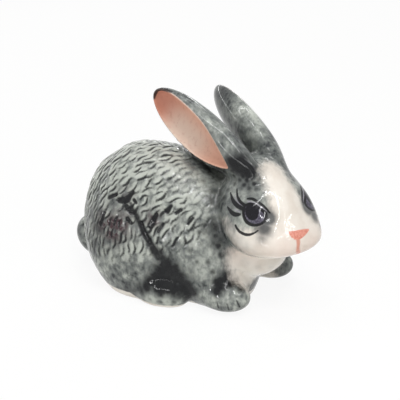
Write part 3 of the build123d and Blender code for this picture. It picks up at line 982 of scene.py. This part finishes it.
def painted_features(glaze, colour):
    """The mouth, nose and eyes in brush lines with slightly uneven edges."""
    nose = glaze.layer(*NOSE_COLOURS, glaze.step(glaze.fine, 0.4, 0.65))
    iris = glaze.layer(*IRIS_COLOURS, glaze.step(glaze.fine, 0.4, 0.7))
    for name, paint, outside, inside, cover in (
        ("mouth", MOUTH, 0.2, -0.3, 0.9),
        ("nose", nose, 0.12, -0.1, 0.95),
        ("lilac", LILAC, 0.15, -0.1, 0.75),
        ("iris", iris, 0.1, -0.1, 0.95),
        ("pupil", PUPIL_BLACK, 0.1, -0.1, 0.97),
        ("ink", INK, 0.12, -0.06, 0.96),
    ):
        colour = glaze.over(colour, paint, name, glaze.fine, 0.16, outside, inside, cover)
    return colour


def painted(name, gloss=0.05, mottle=1.0):
    """A painted glaze; the pieces differ in gloss and in how mottled the coat is."""
    glaze = Glaze(name)
    colour = painted_coat(glaze, mottle)
    for add in (left_bare, lined_ears, painted_features):
        colour = add(glaze, colour)
    ripple = glaze.plus(glaze.times(glaze.fine, 0.3), glaze.patch)
    bump = glaze.node("Bump", {"Strength": 0.25, "Distance": 0.06 * MM, "Height": ripple})
    dull = glaze.times(glaze.amount("inner"), 0.4)
    rough = glaze.plus(glaze.step(glaze.patch, 0.3, 0.7, gloss, gloss + 0.06), dull)
    glaze.fill(glaze.tree.nodes["Principled BSDF"], {
        "Base Color": colour, "Roughness": rough, "Normal": bump["Normal"], "Specular IOR Level": 0.26,
    })
    return glaze.material


GLAZES = {
    "coat": painted("coat_glaze"),
    "face": painted("face_glaze", gloss=0.04, mottle=0.8),
    "ear": painted("ear_glaze", mottle=0.9),
    "dark_foot": painted("foot_glaze", gloss=0.035, mottle=0.8),
}
SLOTS = dict.fromkeys(PIECES, "coat") | {
    "head": "face", "right_ear": "ear", "left_ear": "ear",
    "right_hind_foot": "dark_foot", "left_hind_foot": "dark_foot",
}


def face_neighbours(quads):
    """For each side of each face, the face across it."""
    start = quads.T.ravel()
    finish = np.roll(quads, -1, axis=1).T.ravel()
    key = np.minimum(start, finish) * (quads.max() + 1) + np.maximum(start, finish)
    order = np.argsort(key, kind="stable")
    face = order % len(quads)
    across = np.empty(len(order), dtype=int)
    across[order[0::2]] = face[1::2]
    across[order[1::2]] = face[0::2]
    return across.reshape(4, -1).T


# Rounds of smoothing and mending the borders between pieces, and the widest island in faces
SMOOTHING, MENDING, ISLAND_WIDTH = 8, 30, 400


def largest_patches(labels, neighbours):
    """Labels with each piece's small islands given to the piece around them."""
    island = np.full(len(labels), -1)
    owners = []
    across = neighbours.tolist()
    names = labels.tolist()
    for first in range(len(names)):
        if island[first] >= 0:
            continue
        stack = [first]
        island[first] = len(owners)
        while stack:
            for other in across[stack.pop()]:
                if island[other] < 0 and names[other] == names[first]:
                    island[other] = len(owners)
                    stack.append(other)
        owners.append(names[first])
    sizes, owners = np.bincount(island), np.array(owners)
    kept = [size == sizes[owners == owner].max() for size, owner in zip(sizes, owners)]
    lost = ~np.array(kept)[island]
    labels = labels.copy()
    for _ in range(ISLAND_WIDTH):
        if not lost.any():
            break
        for column in neighbours.T:
            ready = lost & ~lost[column]
            labels[ready] = labels[column[ready]]
            lost[ready] = False
    return labels


def divided(points, quads):
    """Which piece each face belongs to, in patches with simple borders."""
    centres = points[quads].mean(axis=1)
    labels = np.array(piece_fields(centres)).argmin(axis=0)
    neighbours = face_neighbours(quads)
    for _ in range(SMOOTHING):
        near = np.sort(labels[neighbours], axis=1)
        agreed = (near[:, 1] == near[:, 2]) & ((near[:, 0] == near[:, 1]) | (near[:, 2] == near[:, 3]))
        labels = np.where(agreed, near[:, 1], labels)
    for _ in range(MENDING):
        labels = largest_patches(labels, neighbours)
        border = labels[:, None] != labels[neighbours]
        starts = quads[border] * len(PIECES) + np.repeat(labels[:, None], 4, axis=1)[border]
        values, counts = np.unique(starts, return_counts=True)
        pinched = np.unique(values[counts > 1] // len(PIECES))
        if len(pinched) == 0:
            break
        for point in pinched:
            touching = (quads == point).any(axis=1)
            labels[touching] = np.bincount(labels[touching]).argmax()
    return labels


def border_rings(faces):
    """The open border of a patch, as rings of points in the patch's winding."""
    edges = {(a, b) for quad in faces.tolist() for a, b in zip(quad, quad[1:] + quad[:1])}
    following = {a: b for a, b in edges if (b, a) not in edges}
    rings = []
    while following:
        start, point = following.popitem()
        ring = [start]
        while point != start:
            ring.append(point)
            point = following.pop(point)
        rings.append(ring)
    return rings


# How far below the skin the hidden joint faces start
JOINT_DEPTH = 0.8


def closed_piece(name, faces):
    """One piece of the skin, closed inside by a hidden joint face round each border."""
    used, inverse = np.unique(faces, return_inverse=True)
    local = inverse.reshape(faces.shape)
    points, normals, source = [shown_points[used]], [shown_normals[used]], [used]
    polygons = local.tolist()
    count = len(used)
    for ring in border_rings(local):
        outward = normals[0][ring]
        middle_outward = unit(outward.mean(axis=0))
        inside = points[0][ring] - outward * JOINT_DEPTH
        points += [inside, (inside.mean(axis=0) - middle_outward * JOINT_DEPTH)[None]]
        normals += [-outward, -middle_outward[None]]
        source += [used[ring], used[ring[:1]]]
        for i in range(len(ring)):
            j = (i + 1) % len(ring)
            polygons.append((ring[j], ring[i], count + i, count + j))
            polygons.append((count + j, count + i, count + len(ring)))
        count += len(ring) + 1
    source = np.concatenate(source)
    mesh = bpy.data.meshes.new(name)
    mesh.from_pydata((np.concatenate(points) * MM).tolist(), [], polygons)
    mesh.shade_smooth()
    mesh.normals_split_custom_set_from_vertices(np.concatenate(normals).tolist())
    for paint, values in PAINT.items():
        attribute = mesh.attributes.new(paint, "FLOAT", "POINT")
        attribute.data.foreach_set("value", values[source].astype(np.float32))
    return placed(name, mesh)


piece_labels = divided(skin, skin_quads)
for index, node in enumerate(PIECES):
    piece = closed_piece("glazed_" + node, skin_quads[piece_labels == index])
    piece.data.materials.append(GLAZES[SLOTS[node]])
    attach(piece, "root")
    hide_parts(node)

# Floor, in metres: mostly white where it is seen, but for a share that keeps the shadow
FLOOR_HALF = 0.6
FLOOR_COLOUR, FLOOR_ROUGHNESS, WHITE_SHARE = srgb(240, 240, 238), 0.8, 0.9
floor_mesh = bpy.data.meshes.new("floor")
floor_corners = [(x * FLOOR_HALF, y * FLOOR_HALF, 0) for x, y in ((-1, -1), (1, -1), (1, 1), (-1, 1))]
floor_mesh.from_pydata(floor_corners, [], [(0, 1, 2, 3)])
floor = placed("floor", floor_mesh)

floor_paint = bpy.data.materials.new("pale_floor")
nodes = Nodes(floor_paint)
plain = nodes.fill(nodes.tree.nodes["Principled BSDF"], {
    "Base Color": FLOOR_COLOUR, "Roughness": FLOOR_ROUGHNESS, "Specular IOR Level": 0.0,
})
nodes.white_where_seen(plain[0], "Emission", WHITE_SHARE, "Material Output")
floor_mesh.materials.append(floor_paint)

# World: a plain light tent, white where it is seen
TENT_STRENGTH = 0.29
world = bpy.data.worlds.new("studio")
bpy.context.scene.world = world
nodes = Nodes(world)
tent = nodes.fill(nodes.tree.nodes["Background"], {
    "Color": (1, 1, 1, 1), "Strength": TENT_STRENGTH,
})
nodes.white_where_seen(tent[0], "Background", 1.0, "World Output")

# Lamps, in metres and watts: a soft overhead panel, and thin tubes, each from one azimuth and
# elevation in degrees to another
LAMP_DISTANCE = 0.5
LAMP_TARGET = np.array((0.005, 0.0, 0.022))
TUBE_WIDTH, WIDE_TUBE = 0.008, 0.012


def sky_place(azimuth, elevation):
    """A lamp's place in a direction from the figure."""
    return LAMP_TARGET + LAMP_DISTANCE * heading(np.radians(azimuth), np.radians(elevation))


def panel(name, place, along, length, width, power):
    """An area lamp that faces the figure, with its length in a direction."""
    light = bpy.data.lights.new(name, "AREA")
    light.shape = "RECTANGLE"
    light.size, light.size_y = length, width
    light.energy = power
    lamp = placed(name, light)
    back = unit(place - LAMP_TARGET)
    across = unit(along - back * np.dot(along, back))
    turn = Matrix(np.array((across, np.cross(back, across), back)).T.tolist())
    lamp.matrix_world = Matrix.Translation(place) @ turn.to_4x4()


def tube(name, first, last, power, width=TUBE_WIDTH):
    """A thin straight lamp between two directions."""
    a, b = sky_place(*first), sky_place(*last)
    panel("tube_" + name, (a + b) / 2, b - a, np.linalg.norm(b - a), width, power)


panel("overhead", sky_place(-60, 70), along=(1.0, 0.4, 0.0), length=0.3, width=0.3, power=0.3)
tube("left", (-106, 1), (-106, 13), 0.25)
tube("top", (-112, 53), (-12, 53), 0.5)
tube("right", (-26, 24), (-26, 50), 0.2)
tube("low", (-106, 2), (-76, 2), 0.2)
tube("middle", (-56, 34), (0, 34), 0.18)
tube("shoulder", (-50, 45), (-36, 64), 0.45, WIDE_TUBE)
tube("over", (-168, 68), (-64, 86), 0.3)
tube("far_top", (150, 70), (80, 51), 0.22)
tube("far_side", (-164, 42), (150, 70), 0.22)
tube("far_low", (102, 16), (81, 43), 0.15)
tube("behind", (-169, 3), (102, 16), 0.2)

bpy.context.scene.view_settings.view_transform = "Standard"
